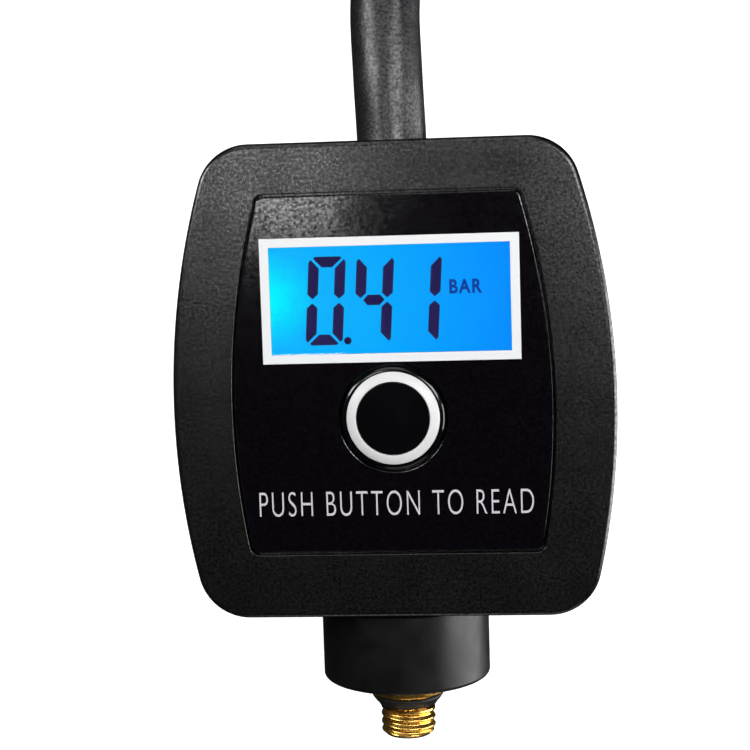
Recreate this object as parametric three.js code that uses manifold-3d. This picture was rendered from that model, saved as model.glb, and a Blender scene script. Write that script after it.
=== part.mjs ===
// A digital tyre pressure gauge with an air hose and a screw-on valve chuck, lying on its back.
// Millimetres. +Z leaves the display face, +Y runs toward the hose and +X is the reader's right.
// The origin is on the flat back, straight under the middle of the button.

import * as THREE from 'three';
import { mergeVertices } from 'three/addons/utils/BufferGeometryUtils.js';
import Module from 'manifold-3d';

const wasm = await Module();
wasm.setup();

// Room between two pieces that touch on the real gauge.
const GAP = 0.3;

// Housing: two shells whose sides bulge like a barrel.
const BODY_HALF_WIDTH = 30.9;
const BODY_BOTTOM = -28.3;
const BODY_TOP = 38.3;
const BODY_DEPTH = 26;
const BODY_CORNER = 7.3;
const BULGE_RADIUS = 109;
const BULGE_Y = 1.2;
const EDGE_BEVEL = 0.5;
const WALL = 2;
const SPLIT_Z = 13;
const POST_RADIUS = { front: 3.5, rear: 4.1, board: 2.5 };
const POST_ROOT = 0.5;
const SADDLE = { places: [-21, -3], halfWidth: 8, thickness: 2, top: 11 };
const CONTACT_NOTCH = { x: [9, 12.3], halfWidth: 2.2 };

// Face: a glossy panel let into the front wall.
const FACE_INNER_Z = 22.8;
const RECESS_FLOOR_Z = 24.4;
const PANEL_HALF_WIDTH = 22.2;
const PANEL_BOTTOM = -18.9;
const PANEL_TOP = 31.05;
const PANEL_BULGE = 108;
const PANEL_CORNER = 1.2;
const PANEL_Z = [RECESS_FLOOR_Z + GAP, 25.8];

// Display stack behind the panel.
const LCD_Y = 16.54;
const LCD_HALF = [18.2, 9.2];
const LCD_Z = [22.5, 24.3];
const LIGHT_Z = [20.8, 22.2];
const LIGHT_HALF = [16.7, 6.6];
const HOLDER = { outer: [19.3, 10.2], inner: [17, 9] };
const ZEBRA = { half: [15, 0.7], offset: 7.9 };

// Button, its white ring and the switch under it.
const BUTTON_RADIUS = 7.25;
const BUTTON_Z = [25.25, 26.6];
const RING_RADII = [5.14, 6.49];
const BUTTON_RIM = { chamfer: [0.2, 0.45], land: 0.25, pocket: 0.9 };
const RING_DEPTH = 0.6;
const STEM = { radius: 2.6, bottom: 24.3, clearance: 0.6 };
const PLUNGER = { radius: 1.7, z: [21.9, 24] };
const SWITCH_CAN = { half: 3, top: 22.4, well: 21.2 };

// Circuit board, which hangs from two posts on the front shell.
const BOARD_HALF_WIDTH = 19.5;
const BOARD_Y = [-17, 27];
const BOARD_Z = [19.3, 20.5];
const BOARD_CORNER = 1.5;
const BOARD_POST = [16.5, -13.5];
const BOARD_SCREW = { head: 2, height: 1.2, shank: 1, tip: 22.4, hole: 1.4 };

// Air line through the housing.
const AXIS_Z = 13;
const BORE_RADIUS = 1.5;
const BLOCK_HALF_WIDTH = 6;
const BLOCK_Y = [-23.6, 12];
const BLOCK_Z = [8, 18];
const PORT_RADIUS = 3.8;
const PORT_DEPTH_Y = [-16.7, 5.3];
const SENSOR_Y = -9;
const SENSOR = { nose: 1.8, can: 4.5, z: [15.7, 17, 19] };
const SENSOR_SEAT = { radius: 4.9, bottom: 15.2, bore: 0.8 };
const SENSOR_RING = { ring: 3.1, section: 0.6, z: 16.1 };

// Collar and threaded stud (M8 x 1.25) below the housing.
const COLLAR_RADIUS = 12.33;
const COLLAR_BOTTOM = -39.95;
const NECK_RADIUS = 7.8;
const COLLAR_LIP = { radius: 9.3, top: -24.2 };
const COLLAR_BEVEL = 0.5;
const SHANK_RADIUS = 5;
const FLANGE_RADIUS = 5.97;
const FLANGE_Y = [-42.6, -40.25];
const FLANGE_BEVEL = 0.3;
const STUD_END = -49.2;
const STUD_SPIGOT_TOP = -17;
const THREAD_RADIUS = 4.04;
const THREAD_ROOT = 3.4;
const THREAD_PITCH = 1.25;
const THREAD_TURNS = { first: -48.65, count: 3, end: -44.95 };
const UNDERCUT_RADIUS = 3.2;
const BARB = { bore: 1.2, ridge: 2.9, root: 2.5, tip: 2.3, pitch: 4, length: 12 };
const BARB_NUT = { across: 5.6, flange: 5, length: 3.2, spigotBottom: 6 };
const FERRULE = { clearance: 0.3, wall: 0.6, end: 27 };
const STUD_RING = { ring: 4.4, section: 0.88, y: -43.76 };

// Coin cell (20 x 3.2) in a well that a quarter-turn cap closes from the back.
const CELL_Y = 17.5;
const CELL_RADIUS = 10;
const CELL_Z = [3.3, 6.5];
const CELL_STEP = { inset: 1.2, height: 0.5 };
const CONTACT = { x: [10.5, 14.2], thickness: 0.4, halfWidth: 1.6, z: [3.7, 7.5] };
const LEAF = { x: [-12.6, 6], halfWidth: 2, z: [6.8, 7.1] };
const LEAF_STEP = { x: [-12.9, -12.4], z: [6.9, 7.3] };
const LEAF_TAB = { x: [-14.2, -12.4], halfWidth: 1.4, z: [7.1, 7.5] };
const LEAD_RADIUS = 0.6;
const CAP_RADIUS = 11.7;
const CAP_Z = [0.3, 1.9];
const CAP_BOSS = { radius: 9.6, top: 3 };
const CAP_SLOT = { half: [7, 0.9], depth: 0.9 };
const CAP_SEAL = { radii: [10.9, 12.6], z: [2.2, 2.9] };
const BAYONET = { radius: 12.8, bore: 13.1, ledge: 0.9, bottom: 1.2, angle: 0.7 };
const WELL = { radius: 14.5, shelf: 3.2, top: 6.8, pocket: 10.5 };

// Case screws, driven from the back.
const SCREW_PLACES = [[22.3, -21.4], [-22.3, -21.4], [21.3, 30.4], [-21.3, 30.4]];
const SCREW = { head: 2.3, headZ: [2.7, 4.7], shank: 1.3, tip: 19, recess: [1.5, 0.35] };

// Hose: a straight run, one turn on the floor, and an upper stretch that lies on that turn.
const HOSE_RADIUS = 5;
const HOSE_BORE = 3.2;
const HOSE_ROOM = 0.4;
const HOSE_START = 16;
const COIL_CENTRE = [-22, 126];
const COIL_RADIUS = 46;
const HOSE_RUN = [
  [0, HOSE_START, AXIS_Z], [0, 27, AXIS_Z], [0, 38.3, AXIS_Z], [-0.3, 48, 12.9],
  [-0.45, 58, 11.7], [0.6, 66, 9.6], [3.3, 74, 7.1], [7.2, 82, 5.4], [11.4, 90, HOSE_RADIUS],
];
const UPPER_TURN = { from: 312, to: 442, z: 15.3, points: 9 };
const HOSE_BORE_DEPTH = 13;

// Chuck: it screws onto a tyre valve. Lengths run along -X from the hose's end.
const CHUCK_PLACE = [-34, 168, 17.85];
const NUT = { radius: 7.5, start: 6, end: 24.5, socket: 3.9, cavity: 5.5, neck: 4.5 };
const NUT_BEVEL = { start: 0.6, end: 0.8 };
const NUT_PLAY = 0.4;
const NUT_GROOVES = { count: 18, radius: 0.45, offset: 0.1 };
const CHUCK_HEXAGON = { across: 6.2, shoulder: 5, end: 5.2 };
const CHUCK_NECK = 4.1;
const CHUCK_FLANGE = { radius: 5.2, start: 14, end: 16 };
const CHUCK_FERRULE = { clearance: 0.3, wall: 0.7, start: -11 };
const CHUCK_SEAL = { radii: [1.3, 3.6], z: [16.3, 17.9] };
const CHUCK_PIN = { radius: 0.9, z: [15.2, 19.5] };

// Facets round the outer turned pieces and round the small ones.
const ROUND = 32;
const FINE = 16;

// ---- finishes ----

function finish(color, roughness, metalness = 0) {
  return new THREE.MeshStandardMaterial({ color, roughness, metalness });
}

const finishes = {
  housing: finish(0x1d1d1e, 0.62),
  panel: finish(0x08080a, 0.08),
  glass: finish(0x19b4ff, 0.15),
  diffuser: finish(0xe8f4ff, 0.5),
  holder: finish(0x26272a, 0.5),
  zebra: finish(0x4a4a50, 0.8),
  board: finish(0x14532d, 0.45),
  button: finish(0x0b0b0c, 0.2),
  ring: finish(0xf2f2f2, 0.4),
  steel: finish(0xb9bcc0, 0.3, 1),
  brass: finish(0xc99a3e, 0.28, 1),
  rubber: finish(0x111111, 0.75),
  hose: finish(0x1a1a1a, 0.55),
  collar: finish(0x141415, 0.4),
  red: finish(0xa31616, 0.5),
  black: finish(0x101010, 0.5),
};

// ---- solids ----

function solid(geometry) {
  const bare = geometry.clone();
  bare.deleteAttribute('normal');
  bare.deleteAttribute('uv');
  const merged = mergeVertices(bare, 1e-4);
  return new wasm.Manifold(new wasm.Mesh({
    numProp: 3,
    vertProperties: new Float32Array(merged.attributes.position.array),
    triVerts: new Uint32Array(merged.index.array),
  }));
}

function geometryOf(body) {
  const mesh = body.getMesh();
  const geometry = new THREE.BufferGeometry();
  geometry.setAttribute('position', new THREE.BufferAttribute(mesh.vertProperties, 3));
  geometry.setIndex(new THREE.BufferAttribute(mesh.triVerts, 1));
  geometry.computeVertexNormals();
  return geometry;
}

function box([x0, x1], [y0, y1], [z0, z1]) {
  const geometry = new THREE.BoxGeometry(x1 - x0, y1 - y0, z1 - z0);
  geometry.translate((x0 + x1) / 2, (y0 + y1) / 2, (z0 + z1) / 2);
  return solid(geometry);
}

function rodZ(radius, [x, y], [z0, z1], sides = FINE) {
  const geometry = new THREE.CylinderGeometry(radius, radius, z1 - z0, sides);
  geometry.rotateX(Math.PI / 2);
  geometry.translate(x, y, (z0 + z1) / 2);
  return solid(geometry);
}

function rodY(radius, [y0, y1], sides = ROUND) {
  const geometry = new THREE.CylinderGeometry(radius, radius, y1 - y0, sides);
  geometry.translate(0, (y0 + y1) / 2, AXIS_Z);
  return solid(geometry);
}

// A profile of [radius, height] points, turned about the vertical through [x, y].
function turnedZ(profile, [x, y], sides = ROUND) {
  const geometry = new THREE.LatheGeometry(profile.map(([r, h]) => new THREE.Vector2(r, h)), sides);
  geometry.rotateX(Math.PI / 2);
  geometry.translate(x, y, 0);
  return solid(geometry);
}

// A profile of [radius, y] points, turned about the air line.
function turnedY(profile, sides = ROUND) {
  const geometry = new THREE.LatheGeometry(profile.map(([r, h]) => new THREE.Vector2(r, h)), sides);
  geometry.translate(0, 0, AXIS_Z);
  return solid(geometry);
}

// A profile of [radius, distance] points, turned about the chuck's axis, which points along -X.
function turnedChuck(profile, sides = ROUND) {
  const geometry = new THREE.LatheGeometry(profile.map(([r, h]) => new THREE.Vector2(r, h)), sides);
  geometry.rotateZ(Math.PI / 2);
  geometry.translate(...CHUCK_PLACE);
  return solid(geometry);
}

// The closed profile of a flat ring or sleeve.
function sleeve(inner, outer, from, to) {
  return [[inner, from], [outer, from], [outer, to], [inner, to], [inner, from]];
}

// The closed profile of a ring with a round section.
function roundRing(ring, section, height, steps) {
  return Array.from({ length: steps + 1 }, (_, i) => {
    const angle = 2 * Math.PI * (i % steps) / steps;
    return [ring + section * Math.cos(angle), height + section * Math.sin(angle)];
  });
}

function arc(x, y, radius, from, to, steps) {
  return Array.from({ length: steps + 1 }, (_, i) => {
    const angle = from + (to - from) * i / steps;
    return new THREE.Vector2(x + radius * Math.cos(angle), y + radius * Math.sin(angle));
  });
}

function outline(...stretches) {
  const points = stretches.flat();
  const apart = points.filter((p, i) => p.distanceTo(points.at(i - 1)) > 1e-6);
  return new THREE.Shape(apart);
}

// A rounded plate outline whose left and right sides are shallow arcs, widest at BULGE_Y.
function barrel(halfWidth, bottom, top, bulge, corner) {
  const centre = halfWidth - bulge;
  const upper = top - corner;
  const lower = bottom + corner;
  const upperX = centre + Math.sqrt((bulge - corner) ** 2 - (upper - BULGE_Y) ** 2);
  const lowerX = centre + Math.sqrt((bulge - corner) ** 2 - (lower - BULGE_Y) ** 2);
  const upperAngle = Math.atan2(upper - BULGE_Y, upperX - centre);
  const lowerAngle = Math.atan2(lower - BULGE_Y, lowerX - centre);
  const { PI } = Math;
  return outline(
    arc(centre, BULGE_Y, bulge, lowerAngle, upperAngle, 10),
    arc(upperX, upper, corner, upperAngle, PI / 2, 5),
    arc(-upperX, upper, corner, PI / 2, PI - upperAngle, 5),
    arc(-centre, BULGE_Y, bulge, PI - upperAngle, PI - lowerAngle, 10),
    arc(-lowerX, lower, corner, PI - lowerAngle, 1.5 * PI, 5),
    arc(lowerX, lower, corner, 1.5 * PI, 2 * PI + lowerAngle, 5),
  );
}

function rectangle([x0, x1], [y0, y1], corner) {
  const { PI } = Math;
  return outline(
    arc(x1 - corner, y1 - corner, corner, 0, PI / 2, 3),
    arc(x0 + corner, y1 - corner, corner, PI / 2, PI, 3),
    arc(x0 + corner, y0 + corner, corner, PI, 1.5 * PI, 3),
    arc(x1 - corner, y0 + corner, corner, 1.5 * PI, 2 * PI, 3),
  );
}

function slab(shape, [z0, z1], bevel = 0) {
  const geometry = new THREE.ExtrudeGeometry(shape, {
    depth: z1 - z0 - 2 * bevel,
    bevelEnabled: bevel > 0,
    bevelSize: bevel,
    bevelOffset: -bevel,
    bevelThickness: bevel,
    bevelSegments: 2,
  });
  geometry.translate(0, 0, z0 + bevel);
  return solid(geometry);
}

function tube(route, radius, sides, steps) {
  const section = new THREE.Shape(arc(0, 0, radius, 0, 2 * Math.PI * (1 - 1 / sides), sides - 1));
  const extrudePath = new THREE.CatmullRomCurve3(route.map((p) => new THREE.Vector3(...p)));
  return solid(new THREE.ExtrudeGeometry(section, { steps, extrudePath }));
}

// A box centred on the display, from its half width and half height.
function aroundLcd([halfX, halfY], depth) {
  return box([-halfX, halfX], [LCD_Y - halfY, LCD_Y + halfY], depth);
}

// A stretch of Y centred on the coin cell.
function aboutCell(half) {
  return [CELL_Y - half, CELL_Y + half];
}

function joined(bodies) {
  return bodies.reduce((whole, body) => whole.add(body));
}

function mirrored([x, y]) {
  return [[x, y], [-x, y]];
}

// ---- housing ----

const bodyBlock = slab(
  barrel(BODY_HALF_WIDTH, BODY_BOTTOM, BODY_TOP, BULGE_RADIUS, BODY_CORNER),
  [0, BODY_DEPTH],
  EDGE_BEVEL,
);
const cavity = slab(
  barrel(
    BODY_HALF_WIDTH - WALL, BODY_BOTTOM + WALL, BODY_TOP - WALL,
    BULGE_RADIUS - WALL, BODY_CORNER - WALL,
  ),
  [WALL, FACE_INNER_Z],
);
const hoseHole = rodY(HOSE_RADIUS + HOSE_ROOM, [BODY_TOP - 2 * WALL, BODY_TOP + WALL]);
const neckHole = rodY(NECK_RADIUS + GAP, [BODY_BOTTOM - WALL, BODY_BOTTOM + 2 * WALL]);
const wide = [-2 * BODY_HALF_WIDTH, 2 * BODY_HALF_WIDTH];

function frontShell() {
  const half = box(wide, wide, [SPLIT_Z + GAP / 2, BODY_DEPTH + 1]);
  const recess = slab(
    barrel(
      PANEL_HALF_WIDTH + GAP, PANEL_BOTTOM - GAP, PANEL_TOP + GAP,
      PANEL_BULGE + GAP, PANEL_CORNER + GAP,
    ),
    [RECESS_FLOOR_Z, BODY_DEPTH + 1],
  );
  const throughFace = [FACE_INNER_Z - 1, RECESS_FLOOR_Z + 1];
  const lcdOpening = aroundLcd(LCD_HALF.map((half) => half + GAP), throughFace);
  const stemOpening = rodZ(STEM.radius + STEM.clearance, [0, 0], throughFace);
  let shell = bodyBlock.intersect(half).subtract(cavity);
  for (const place of SCREW_PLACES) {
    shell = shell.add(rodZ(POST_RADIUS.front, place, [SPLIT_Z + GAP / 2, FACE_INNER_Z + POST_ROOT]));
    shell = shell.subtract(rodZ(SCREW.shank + GAP, place, [SPLIT_Z - 1, SCREW.tip + 1], 12));
  }
  for (const place of mirrored(BOARD_POST)) {
    shell = shell.add(rodZ(POST_RADIUS.board, place, [BOARD_Z[1] + GAP, FACE_INNER_Z + POST_ROOT]));
    shell = shell.subtract(rodZ(BOARD_SCREW.shank + GAP, place, [BOARD_Z[1], FACE_INNER_Z], 12));
  }
  return [recess, lcdOpening, stemOpening, hoseHole, neckHole].reduce((a, b) => a.subtract(b), shell);
}

function rearShell() {
  const half = box(wide, wide, [-1, SPLIT_Z - GAP / 2]);
  const middle = [0, CELL_Y];
  let shell = bodyBlock.intersect(half).subtract(cavity);
  for (const place of SCREW_PLACES) {
    shell = shell.add(rodZ(POST_RADIUS.rear, place, [WALL / 2, SPLIT_Z - GAP / 2]));
    shell = shell.subtract(rodZ(SCREW.head + GAP, place, [-1, SCREW.headZ[1] + GAP], 16));
    shell = shell.subtract(rodZ(SCREW.shank + GAP, place, [0, SPLIT_Z + 1], 12));
  }
  const seatX = [-BLOCK_HALF_WIDTH - GAP, BLOCK_HALF_WIDTH + GAP];
  const seat = box(seatX, wide, [BLOCK_Z[0] - GAP, SADDLE.top + 1]);
  for (const y of SADDLE.places) {
    const { halfWidth, thickness, top } = SADDLE;
    const saddle = box([-halfWidth, halfWidth], [y, y + thickness], [WALL / 2, top]);
    shell = shell.add(saddle.subtract(seat));
  }
  shell = shell.add(rodZ(WELL.radius, middle, [WALL / 2, WELL.top], ROUND));
  shell = shell.subtract(rodZ(CAP_RADIUS + GAP, middle, [-1, WELL.shelf], ROUND));
  shell = shell.subtract(rodZ(BAYONET.bore, middle, [BAYONET.ledge, WELL.shelf], ROUND));
  shell = shell.subtract(rodZ(WELL.pocket, middle, [0, WELL.top + 1], ROUND));
  const notchY = aboutCell(CONTACT_NOTCH.halfWidth);
  shell = shell.subtract(box(CONTACT_NOTCH.x, notchY, [WELL.shelf, WELL.top + 1]));
  return shell.subtract(hoseHole).subtract(neckHole);
}

// ---- face, display and button ----

function facePanel() {
  const plate = slab(
    barrel(PANEL_HALF_WIDTH, PANEL_BOTTOM, PANEL_TOP, PANEL_BULGE, PANEL_CORNER),
    PANEL_Z,
  );
  return plate.subtract(rodZ(BUTTON_RADIUS + GAP, [0, 0], [0, BODY_DEPTH], ROUND));
}

function lcdHolder() {
  const room = [LIGHT_Z[0] - 1, LIGHT_Z[1] + 1];
  return aroundLcd(HOLDER.outer, LIGHT_Z).subtract(aroundLcd(HOLDER.inner, room));
}

function zebraStrip(side) {
  return aroundLcd(ZEBRA.half, LIGHT_Z).translate([0, side * ZEBRA.offset, 0]);
}

function buttonCap() {
  const [rim, top] = BUTTON_Z;
  const { chamfer, land, pocket } = BUTTON_RIM;
  const floor = top - pocket;
  const inner = RING_RADII[0] - GAP;
  const outer = RING_RADII[1] + land;
  return turnedZ([
    [0, STEM.bottom], [STEM.radius, STEM.bottom], [STEM.radius, rim], [BUTTON_RADIUS, rim],
    [BUTTON_RADIUS, top - chamfer[1]], [BUTTON_RADIUS - chamfer[0], top], [outer, top],
    [outer, floor], [inner, floor], [inner, top], [0, top],
  ], [0, 0]);
}

function switchBody() {
  const { half, top, well } = SWITCH_CAN;
  const can = box([-half, half], [-half, half], [BOARD_Z[1] + GAP, top]);
  return can.subtract(rodZ(PLUNGER.radius + GAP, [0, 0], [well, top + 1]));
}

// ---- board and pressure sensor ----

function mainBoard() {
  const plate = slab(rectangle([-BOARD_HALF_WIDTH, BOARD_HALF_WIDTH], BOARD_Y, BOARD_CORNER), BOARD_Z);
  const through = [BOARD_Z[0] - 1, BOARD_Z[1] + 1];
  return mirrored(BOARD_POST).reduce(
    (board, place) => board.subtract(rodZ(BOARD_SCREW.hole, place, through, 12)),
    plate,
  );
}

function boardScrew(place) {
  const { head, height, shank, tip } = BOARD_SCREW;
  const under = BOARD_Z[0] - GAP;
  const profile = [
    [0, under - height], [head, under - height], [head, under], [shank, under], [shank, tip - 0.2],
    [0, tip],
  ];
  return turnedZ(profile, place, 12);
}

function pressureSensor() {
  const { nose, can, z: [bottom, step, top] } = SENSOR;
  const profile = [[0, bottom], [nose, bottom], [nose, step], [can, step], [can, top], [0, top]];
  return turnedZ(profile, [0, SENSOR_Y], FINE);
}

// ---- air line, collar and stud ----

function manifoldBlock() {
  const [bottom, top] = BLOCK_Y;
  const block = box([-BLOCK_HALF_WIDTH, BLOCK_HALF_WIDTH], BLOCK_Y, BLOCK_Z);
  const cuts = [
    rodY(BORE_RADIUS, [bottom - 1, top + 1], 16),
    rodY(PORT_RADIUS, [bottom - 1, PORT_DEPTH_Y[0]], FINE),
    rodY(PORT_RADIUS, [PORT_DEPTH_Y[1], top + 1], FINE),
    rodZ(SENSOR_SEAT.radius, [0, SENSOR_Y], [SENSOR_SEAT.bottom, BLOCK_Z[1] + 1]),
    rodZ(SENSOR_SEAT.bore, [0, SENSOR_Y], [AXIS_Z, SENSOR_SEAT.bottom + 1], 10),
  ];
  return cuts.reduce((body, cut) => body.subtract(cut), block);
}

function threadProfile(from, count) {
  const turns = Array.from({ length: count }, (_, i) => from + i * THREAD_PITCH);
  return turns.flatMap((y) => [
    [THREAD_RADIUS, y],
    [THREAD_ROOT, y + THREAD_PITCH * 0.45],
    [THREAD_ROOT, y + THREAD_PITCH * 0.55],
  ]);
}

function threadedStud() {
  const top = BLOCK_Y[0] - GAP;
  const { first, count, end } = THREAD_TURNS;
  const spigot = PORT_RADIUS - GAP;
  return turnedY([
    [BORE_RADIUS, STUD_END], [UNDERCUT_RADIUS, STUD_END],
    ...threadProfile(first, count), [THREAD_RADIUS, end], [UNDERCUT_RADIUS, end + 0.01],
    [UNDERCUT_RADIUS, FLANGE_Y[0]], [FLANGE_RADIUS - FLANGE_BEVEL, FLANGE_Y[0]],
    [FLANGE_RADIUS, FLANGE_Y[0] + FLANGE_BEVEL], [FLANGE_RADIUS, FLANGE_Y[1]],
    [SHANK_RADIUS, FLANGE_Y[1]], [SHANK_RADIUS, top], [spigot, top],
    [spigot, STUD_SPIGOT_TOP], [BORE_RADIUS, STUD_SPIGOT_TOP], [BORE_RADIUS, STUD_END],
  ], 24);
}

function collar() {
  const wallOuter = BODY_BOTTOM - GAP;
  const wallInner = BODY_BOTTOM + WALL + GAP;
  const bore = SHANK_RADIUS + GAP;
  const { radius: lip, top } = COLLAR_LIP;
  return turnedY([
    [bore, COLLAR_BOTTOM], [COLLAR_RADIUS - COLLAR_BEVEL, COLLAR_BOTTOM],
    [COLLAR_RADIUS, COLLAR_BOTTOM + COLLAR_BEVEL], [COLLAR_RADIUS, wallOuter],
    [NECK_RADIUS, wallOuter], [NECK_RADIUS, wallInner], [lip, wallInner], [lip, top],
    [bore, top], [bore, COLLAR_BOTTOM],
  ], 40);
}

// A barb that starts at from: each ridge falls to its root, and the last one to the tip.
function barbProfile(from) {
  const { ridge, root, tip, pitch, length } = BARB;
  const ridges = [1, 2].flatMap((i) => [
    [root, from + i * pitch - 0.5],
    [ridge, from + i * pitch - 0.4],
  ]);
  return [[ridge, from], ...ridges, [tip, from + length]];
}

function hoseBarb() {
  const seat = BLOCK_Y[1] + GAP;
  const { across, flange, length, spigotBottom } = BARB_NUT;
  const nut = seat + length;
  const spigot = PORT_RADIUS - GAP;
  const shape = turnedY([
    [BARB.bore, spigotBottom], [spigot, spigotBottom], [spigot, seat], [flange, seat], [flange, nut],
    ...barbProfile(nut), [BARB.bore, nut + BARB.length], [BARB.bore, spigotBottom],
  ], FINE);
  const hexagon = rodY(across, [seat, nut], 6).subtract(rodY(flange - 1, [seat - 1, nut + 1], FINE));
  return shape.add(hexagon);
}

// ---- battery ----

function batteryCap() {
  const [bottom, top] = CAP_Z;
  const middle = [0, CELL_Y];
  const disc = turnedZ([
    [0, bottom], [CAP_RADIUS - 0.3, bottom], [CAP_RADIUS, bottom + 0.3], [CAP_RADIUS, top],
    [CAP_BOSS.radius, top], [CAP_BOSS.radius, CAP_BOSS.top], [0, CAP_BOSS.top],
  ], middle);
  const tabs = [0, Math.PI].map((turn) => {
    const from = turn - BAYONET.angle / 2;
    const sector = outline(
      arc(0, 0, BAYONET.radius, from, from + BAYONET.angle, 4),
      arc(0, 0, CAP_RADIUS - 1, from + BAYONET.angle, from, 4),
    );
    return slab(sector, [BAYONET.bottom, top]).translate([0, CELL_Y, 0]);
  });
  const [slotX, slotY] = CAP_SLOT.half;
  const slot = box([-slotX, slotX], aboutCell(slotY), [bottom - 1, bottom + CAP_SLOT.depth]);
  return joined([disc, ...tabs]).subtract(slot);
}

function coinCell() {
  const [bottom, top] = CELL_Z;
  const step = top - CELL_STEP.height;
  const inner = CELL_RADIUS - CELL_STEP.inset;
  return turnedZ([
    [0, bottom], [CELL_RADIUS, bottom], [CELL_RADIUS, step], [inner, step], [inner, top], [0, top],
  ], [0, CELL_Y]);
}

function positiveContact() {
  const { x: [near, far], thickness, halfWidth, z: [bottom, top] } = CONTACT;
  const y = aboutCell(halfWidth);
  const upright = box([near, near + thickness], y, [bottom, top]);
  return upright.add(box([near, far], y, [top - thickness, top]));
}

function negativeContact() {
  const leaf = box(LEAF.x, aboutCell(LEAF.halfWidth), LEAF.z);
  const step = box(LEAF_STEP.x, aboutCell(LEAF_TAB.halfWidth), LEAF_STEP.z);
  const tab = box(LEAF_TAB.x, aboutCell(LEAF_TAB.halfWidth), LEAF_TAB.z);
  return joined([leaf, step, tab]);
}

function batteryLead(side) {
  const route = [
    [side * 13.4, CELL_Y, 8.2], [side * 13.8, CELL_Y - 1, 11], [side * 14.6, CELL_Y - 4, 15],
    [side * 15, CELL_Y - 5, 17.4], [side * 15, CELL_Y - 5, 19],
  ];
  return tube(route, LEAD_RADIUS, 6, 8);
}

// ---- fasteners ----

function caseScrew(place) {
  const [bottom, top] = SCREW.headZ;
  const { head, shank, tip } = SCREW;
  const screw = turnedZ([
    [0, bottom], [head - 0.3, bottom], [head, bottom + 0.4], [head, top], [shank, top],
    [shank, tip - 1], [0.4, tip], [0, tip],
  ], place, 16);
  const [x, y] = place;
  const [reach, half] = SCREW.recess;
  const long = [-reach, reach];
  const thin = [-half, half];
  const depth = [bottom - 1, bottom + 1];
  const across = box(long.map((v) => x + v), thin.map((v) => y + v), depth);
  const along = box(thin.map((v) => x + v), long.map((v) => y + v), depth);
  return screw.subtract(across).subtract(along);
}

// ---- hose and chuck ----

function coilRing(grow = 0) {
  const reach = HOSE_RADIUS + grow;
  return turnedZ(
    sleeve(COIL_RADIUS - reach, COIL_RADIUS + reach, -grow, 2 * HOSE_RADIUS + grow),
    COIL_CENTRE,
    48,
  );
}

// 0 before start, 1 after end and smooth between.
function eased(value, start, end) {
  const t = Math.min(1, Math.max(0, (value - start) / (end - start)));
  return t * t * (3 - 2 * t);
}

// The upper stretch draws in and rises a little on its way to the chuck, then runs straight.
function upperRoute() {
  const { from, to, z, points } = UPPER_TURN;
  const [x, y] = COIL_CENTRE;
  const [chuckX, chuckY, chuckZ] = CHUCK_PLACE;
  const turn = Array.from({ length: points }, (_, i) => {
    const angle = from + (to - from) * i / (points - 1);
    const radius = COIL_RADIUS - (COIL_RADIUS - (chuckY - y)) * eased(angle, 330, 450);
    const radians = THREE.MathUtils.degToRad(angle);
    const height = z + (chuckZ - z) * eased(angle, 370, 450);
    return [x + radius * Math.cos(radians), y + radius * Math.sin(radians), height];
  });
  return [...turn, [chuckX + 8, chuckY, chuckZ], CHUCK_PLACE];
}

function hoseRun() {
  const bore = rodY(HOSE_BORE, [HOSE_START - 1, HOSE_START + HOSE_BORE_DEPTH], 16);
  return tube(HOSE_RUN, HOSE_RADIUS, 12, 26).subtract(bore).subtract(coilRing(GAP));
}

function hoseTail() {
  const depth = -HOSE_BORE_DEPTH;
  const bore = turnedChuck([[0, depth], [HOSE_BORE, depth], [HOSE_BORE, 1], [0, 1]], 16);
  return tube(upperRoute(), HOSE_RADIUS, 12, 18).subtract(bore);
}

function chuckBody() {
  const barb = barbProfile(0).map(([r, h]) => [r, GAP - h]).reverse();
  const tip = GAP - BARB.length;
  const { across, shoulder, end } = CHUCK_HEXAGON;
  const flange = CHUCK_FLANGE;
  const shape = turnedChuck([
    [BARB.bore, tip], ...barb, [shoulder, GAP], [shoulder, end], [CHUCK_NECK, end],
    [CHUCK_NECK, flange.start], [flange.radius, flange.start], [flange.radius, flange.end],
    [BARB.bore, flange.end], [BARB.bore, tip],
  ], FINE);
  return shape.add(turnedChuck(sleeve(shoulder - 1, across, GAP, end), 6));
}

function chuckNut() {
  const { radius, start, end, socket, cavity: room, neck } = NUT;
  const front = CHUCK_FLANGE.start - NUT_PLAY;
  const back = CHUCK_FLANGE.end + NUT_PLAY;
  const shape = turnedChuck([
    [neck, start], [radius - NUT_BEVEL.start, start], [radius, start + NUT_BEVEL.start],
    [radius, end - NUT_BEVEL.end], [radius - NUT_BEVEL.end, end], [socket, end], [socket, back],
    [room, back], [room, front], [neck, front], [neck, start],
  ], 36);
  const [x, y, z] = CHUCK_PLACE;
  const { count, radius: cut, offset } = NUT_GROOVES;
  const angles = Array.from({ length: count }, (_, i) => 2 * Math.PI * (i + 0.5) / count);
  return angles.reduce((nut, angle) => {
    const groove = new THREE.CylinderGeometry(cut, cut, end - start + 2, 6);
    groove.rotateZ(Math.PI / 2);
    const reach = radius + offset;
    const middle = x - (start + end) / 2;
    groove.translate(middle, y + reach * Math.cos(angle), z + reach * Math.sin(angle));
    return nut.subtract(solid(groove));
  }, shape);
}

// ---- assembly ----

const group = new THREE.Group();
group.name = 'tyre_pressure_gauge';

function place(name, body, material) {
  const mesh = new THREE.Mesh(geometryOf(body), material);
  mesh.name = name;
  group.add(mesh);
}

place('front_shell', frontShell(), finishes.housing);
place('rear_shell', rearShell(), finishes.housing);
place('face_panel', facePanel(), finishes.panel);

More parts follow.
